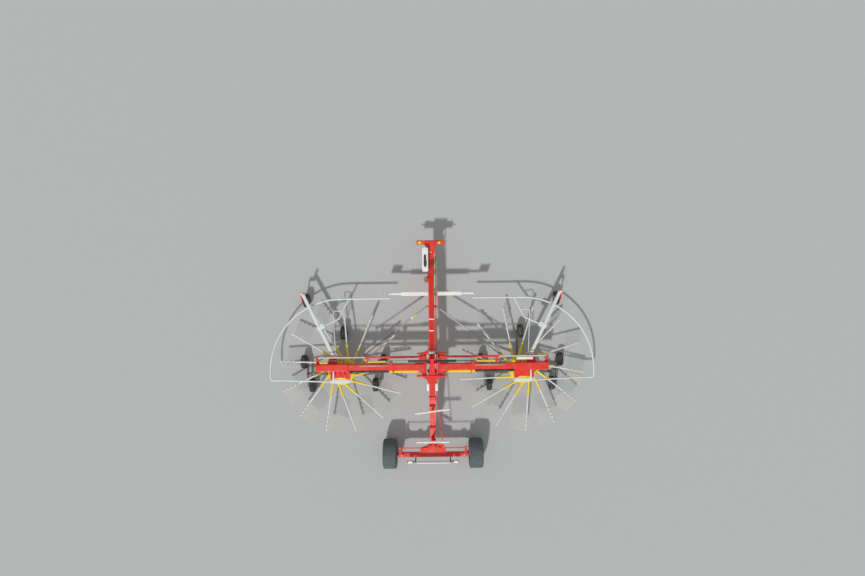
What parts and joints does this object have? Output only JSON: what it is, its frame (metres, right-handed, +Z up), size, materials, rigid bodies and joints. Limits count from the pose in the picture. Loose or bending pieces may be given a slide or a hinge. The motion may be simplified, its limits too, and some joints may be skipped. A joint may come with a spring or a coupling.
{
  "type": "towed twin rotor hay rake",
  "caption": "Towed centre delivery rake: two folding booms carry rotors with cam posed tine arms, a steered rear axle and galvanised guard bows.",
  "frame": {"origin": "on the ground, under the middle of the machine's outline", "axes": "+X to the machine's right, +Y forward towards the hitch, +Z up"},
  "size_m": [9.3758, 6.6038, 1.3],
  "materials": {
    "frame_paint": "semi-gloss red paint",
    "hub_paint": "semi-gloss yellow paint",
    "guard_plastic": "moulded yellow plastic",
    "galvanised": "hot-dip galvanised, dull spangle",
    "white_paint": "white powder coat, dusty",
    "bare_steel": "ground steel, lightly greased",
    "cast_grey": "dark grey cast housings",
    "black_paint": "satin black paint",
    "rubber": "dusty black rubber",
    "rim_paint": "white wheel paint"
  },
  "bodies": {
    "frame": {"drawbar": "frame_paint", "centre_frame": "frame_paint", "rear_frame": "frame_paint", "arm_racks": "white_paint", "lamp_board": "white_paint", "front_boards": "white_paint", "toolbox": "white_paint", "drive_line": "cast_grey"},
    "jack": {"jack_leg": "bare_steel"},
    "headstock": {"headstock": "frame_paint"},
    "steer_rod": {"steer_rod": "frame_paint"},
    "bell_crank": {"bell_crank": "frame_paint"},
    "knuckle_left": {"knuckle_left": "frame_paint"},
    "road_wheel_left": {"road_rim_left": "rim_paint", "road_tyre_left": "rubber"},
    "tie_rod_left": {"tie_rod_left": "frame_paint"},
    "boom_left": {"boom_left": "frame_paint", "boom_drive_left": "guard_plastic"},
    "lift_barrel_left": {"lift_barrel_left": "black_paint"},
    "lift_rod_left": {"lift_rod_left": "bare_steel"},
    "strut_tube_left": {"strut_tube_left": "black_paint"},
    "strut_rod_left": {"strut_rod_left": "bare_steel"},
    "carriage_left": {"carriage_left": "frame_paint", "rotor_gearbox_left": "frame_paint", "guard_left": "galvanised", "rotor_frame_left": "cast_grey"},
    "rotor_left": {"rotor_hub_left": "hub_paint", "tine_arms_left": "galvanised"},
    "feeler_fork_left": {"feeler_fork_left": "frame_paint"},
    "feeler_wheel_left": {"feeler_wheel_left": "rubber"},
    "rotor_wheel_1_left": {"rotor_wheel_1_left": "rubber"},
    "rotor_wheel_2_left": {"rotor_wheel_2_left": "rubber"},
    "rotor_wheel_3_left": {"rotor_wheel_3_left": "rubber"},
    "rotor_wheel_4_left": {"rotor_wheel_4_left": "rubber"},
    "rotor_wheel_5_left": {"rotor_wheel_5_left": "rubber"},
    "knuckle_right": {"knuckle_right": "frame_paint"},
    "road_wheel_right": {"road_rim_right": "rim_paint", "road_tyre_right": "rubber"},
    "tie_rod_right": {"tie_rod_right": "frame_paint"},
    "boom_right": {"boom_right": "frame_paint", "boom_drive_right": "guard_plastic"},
    "lift_barrel_right": {"lift_barrel_right": "black_paint"},
    "lift_rod_right": {"lift_rod_right": "bare_steel"},
    "strut_tube_right": {"strut_tube_right": "black_paint"},
    "strut_rod_right": {"strut_rod_right": "bare_steel"},
    "carriage_right": {"carriage_right": "frame_paint", "rotor_gearbox_right": "frame_paint", "guard_right": "galvanised", "rotor_frame_right": "cast_grey"},
    "rotor_right": {"rotor_hub_right": "hub_paint", "tine_arms_right": "galvanised"},
    "feeler_fork_right": {"feeler_fork_right": "frame_paint"},
    "feeler_wheel_right": {"feeler_wheel_right": "rubber"},
    "rotor_wheel_1_right": {"rotor_wheel_1_right": "rubber"},
    "rotor_wheel_2_right": {"rotor_wheel_2_right": "rubber"},
    "rotor_wheel_3_right": {"rotor_wheel_3_right": "rubber"},
    "rotor_wheel_4_right": {"rotor_wheel_4_right": "rubber"},
    "rotor_wheel_5_right": {"rotor_wheel_5_right": "rubber"}
  },
  "joints": [
    {"name": "hitch_yaw", "type": "hinge", "parent": "frame", "child": "headstock", "pos_m": [0, 2.97, 0.81], "axis": [0, 0, 1], "range_deg": [-45, 45]},
    {"name": "steer_rod_slide", "type": "slide", "parent": "frame", "child": "steer_rod", "axis": [0, 1, 0], "range_m": [-0.105, 0.105]},
    {"name": "bell_crank_turn", "type": "hinge", "parent": "frame", "child": "bell_crank", "pos_m": [0, -2.42, 0.735], "axis": [0, 0, 1], "range_deg": [-20, 20]},
    {"name": "jack_slide", "type": "slide", "parent": "frame", "child": "jack", "axis": [0, 0, 1], "range_m": [0, 0.35]},
    {"name": "knuckle_turn_left", "type": "hinge", "parent": "frame", "child": "knuckle_left", "pos_m": [-0.9, -2.85, 0.54], "axis": [0, 0, 1], "range_deg": [-16, 16]},
    {"name": "road_wheel_spin_left", "type": "hinge", "parent": "knuckle_left", "child": "road_wheel_left", "pos_m": [-1.245, -2.85, 0.43], "axis": [1, 0, 0], "continuous": true},
    {"name": "tie_rod_swing_left", "type": "hinge", "parent": "bell_crank", "child": "tie_rod_left", "pos_m": [-0.07, -2.62, 0.71], "axis": [0, 0, 1], "range_deg": [-20, 20]},
    {"name": "boom_fold_left", "type": "hinge", "parent": "frame", "child": "boom_left", "pos_m": [-0.2, -0.2, 0.98], "axis": [0, 1, 0], "range_deg": [0, 85]},
    {"name": "boom_extend_left", "type": "slide", "parent": "boom_left", "child": "carriage_left", "axis": [-1, 0, 0], "range_m": [-0.4, 0]},
    {"name": "lift_barrel_tilt_left", "type": "hinge", "parent": "frame", "child": "lift_barrel_left", "pos_m": [-0.11, -0.08, 1.25], "axis": [0, 1, 0], "range_deg": [0, 94.5]},
    {"name": "lift_rod_slide_left", "type": "slide", "parent": "lift_barrel_left", "child": "lift_rod_left", "axis": [-0.9923, 0, -0.124], "range_m": [-0.36, 0]},
    {"name": "strut_tilt_left", "type": "hinge", "parent": "frame", "child": "strut_tube_left", "pos_m": [-0.15, 1.42, 0.6], "axis": [-0.5155, 0.7527, 0.4095], "range_deg": [0, 58.4]},
    {"name": "strut_slide_left", "type": "slide", "parent": "strut_tube_left", "child": "strut_rod_left", "axis": [-0.7885, -0.6038, 0.1171], "range_m": [0, 0.2612]},
    {"name": "rotor_spin_left", "type": "hinge", "parent": "carriage_left", "child": "rotor_left", "pos_m": [-2.6, -0.4, 0.62], "axis": [0, 0, 1], "continuous": true},
    {"name": "rotor_wheel_1_spin_left", "type": "hinge", "parent": "carriage_left", "child": "rotor_wheel_1_left", "pos_m": [-3.765, -0.18, 0.2], "axis": [1, 0, 0], "continuous": true},
    {"name": "rotor_wheel_2_spin_left", "type": "hinge", "parent": "carriage_left", "child": "rotor_wheel_2_left", "pos_m": [-3.525, -0.88, 0.2], "axis": [1, 0, 0], "continuous": true},
    {"name": "rotor_wheel_3_spin_left", "type": "hinge", "parent": "carriage_left", "child": "rotor_wheel_3_left", "pos_m": [-1.675, -0.88, 0.2], "axis": [1, 0, 0], "continuous": true},
    {"name": "rotor_wheel_4_spin_left", "type": "hinge", "parent": "carriage_left", "child": "rotor_wheel_4_left", "pos_m": [-1.435, -0.18, 0.2], "axis": [1, 0, 0], "continuous": true},
    {"name": "rotor_wheel_5_spin_left", "type": "hinge", "parent": "carriage_left", "child": "rotor_wheel_5_left", "pos_m": [-2.6, 0.66, 0.2], "axis": [1, 0, 0], "continuous": true},
    {"name": "feeler_castor_left", "type": "hinge", "parent": "carriage_left", "child": "feeler_fork_left", "pos_m": [-3.68, 1.81, 0.65], "axis": [0, 0, 1], "range_deg": [-90, 90]},
    {"name": "feeler_wheel_spin_left", "type": "hinge", "parent": "feeler_fork_left", "child": "feeler_wheel_left", "pos_m": [-3.68, 1.62, 0.2], "axis": [1, 0, 0], "continuous": true},
    {"name": "knuckle_turn_right", "type": "hinge", "parent": "frame", "child": "knuckle_right", "pos_m": [0.9, -2.85, 0.54], "axis": [0, 0, 1], "range_deg": [-16, 16]},
    {"name": "road_wheel_spin_right", "type": "hinge", "parent": "knuckle_right", "child": "road_wheel_right", "pos_m": [1.245, -2.85, 0.43], "axis": [1, 0, 0], "continuous": true},
    {"name": "tie_rod_swing_right", "type": "hinge", "parent": "bell_crank", "child": "tie_rod_right", "pos_m": [0.07, -2.62, 0.71], "axis": [0, 0, 1], "range_deg": [-20, 20]},
    {"name": "boom_fold_right", "type": "hinge", "parent": "frame", "child": "boom_right", "pos_m": [0.2, -0.2, 0.98], "axis": [0, -1, 0], "range_deg": [0, 85]},
    {"name": "boom_extend_right", "type": "slide", "parent": "boom_right", "child": "carriage_right", "axis": [1, 0, 0], "range_m": [-0.4, 0]},
    {"name": "lift_barrel_tilt_right", "type": "hinge", "parent": "frame", "child": "lift_barrel_right", "pos_m": [0.11, -0.08, 1.25], "axis": [0, -1, 0], "range_deg": [0, 94.5]},
    {"name": "lift_rod_slide_right", "type": "slide", "parent": "lift_barrel_right", "child": "lift_rod_right", "axis": [0.9923, 0, -0.124], "range_m": [-0.36, 0]},
    {"name": "strut_tilt_right", "type": "hinge", "parent": "frame", "child": "strut_tube_right", "pos_m": [0.15, 1.42, 0.6], "axis": [-0.5155, -0.7527, -0.4095], "range_deg": [0, 58.4]},
    {"name": "strut_slide_right", "type": "slide", "parent": "strut_tube_right", "child": "strut_rod_right", "axis": [0.7885, -0.6038, 0.1171], "range_m": [0, 0.2612]},
    {"name": "rotor_spin_right", "type": "hinge", "parent": "carriage_right", "child": "rotor_right", "pos_m": [2.6, -0.4, 0.62], "axis": [0, 0, 1], "continuous": true},
    {"name": "rotor_wheel_1_spin_right", "type": "hinge", "parent": "carriage_right", "child": "rotor_wheel_1_right", "pos_m": [3.765, -0.18, 0.2], "axis": [1, 0, 0], "continuous": true},
    {"name": "rotor_wheel_2_spin_right", "type": "hinge", "parent": "carriage_right", "child": "rotor_wheel_2_right", "pos_m": [3.525, -0.88, 0.2], "axis": [1, 0, 0], "continuous": true},
    {"name": "rotor_wheel_3_spin_right", "type": "hinge", "parent": "carriage_right", "child": "rotor_wheel_3_right", "pos_m": [1.675, -0.88, 0.2], "axis": [1, 0, 0], "continuous": true},
    {"name": "rotor_wheel_4_spin_right", "type": "hinge", "parent": "carriage_right", "child": "rotor_wheel_4_right", "pos_m": [1.435, -0.18, 0.2], "axis": [1, 0, 0], "continuous": true},
    {"name": "rotor_wheel_5_spin_right", "type": "hinge", "parent": "carriage_right", "child": "rotor_wheel_5_right", "pos_m": [2.6, 0.66, 0.2], "axis": [1, 0, 0], "continuous": true},
    {"name": "feeler_castor_right", "type": "hinge", "parent": "carriage_right", "child": "feeler_fork_right", "pos_m": [3.68, 1.81, 0.65], "axis": [0, 0, 1], "range_deg": [-90, 90]},
    {"name": "feeler_wheel_spin_right", "type": "hinge", "parent": "feeler_fork_right", "child": "feeler_wheel_right", "pos_m": [3.68, 1.62, 0.2], "axis": [1, 0, 0], "continuous": true}
  ],
  "couplings": [
    {"joint": "steer_rod_slide", "follows": "hitch_yaw", "m_per_rad": 0.125},
    {"joint": "bell_crank_turn", "follows": "hitch_yaw", "ratio": 0.4167},
    {"joint": "knuckle_turn_left", "follows": "hitch_yaw", "ratio": -0.3205},
    {"joint": "tie_rod_swing_left", "follows": "hitch_yaw", "ratio": -0.4167},
    {"joint": "lift_barrel_tilt_left", "follows": "boom_fold_left", "ratio": 1.11},
    {"joint": "lift_rod_slide_left", "follows": "boom_fold_left", "m_per_rad": -0.24179},
    {"joint": "strut_tilt_left", "follows": "boom_fold_left", "ratio": 0.68658},
    {"joint": "strut_slide_left", "follows": "boom_fold_left", "m_per_rad": 0.17599},
    {"joint": "knuckle_turn_right", "follows": "hitch_yaw", "ratio": -0.3205},
    {"joint": "tie_rod_swing_right", "follows": "hitch_yaw", "ratio": -0.4167},
    {"joint": "lift_barrel_tilt_right", "follows": "boom_fold_right", "ratio": 1.11},
    {"joint": "lift_rod_slide_right", "follows": "boom_fold_right", "m_per_rad": -0.24179},
    {"joint": "strut_tilt_right", "follows": "boom_fold_right", "ratio": 0.68658},
    {"joint": "strut_slide_right", "follows": "boom_fold_right", "m_per_rad": 0.17599}
  ]
}
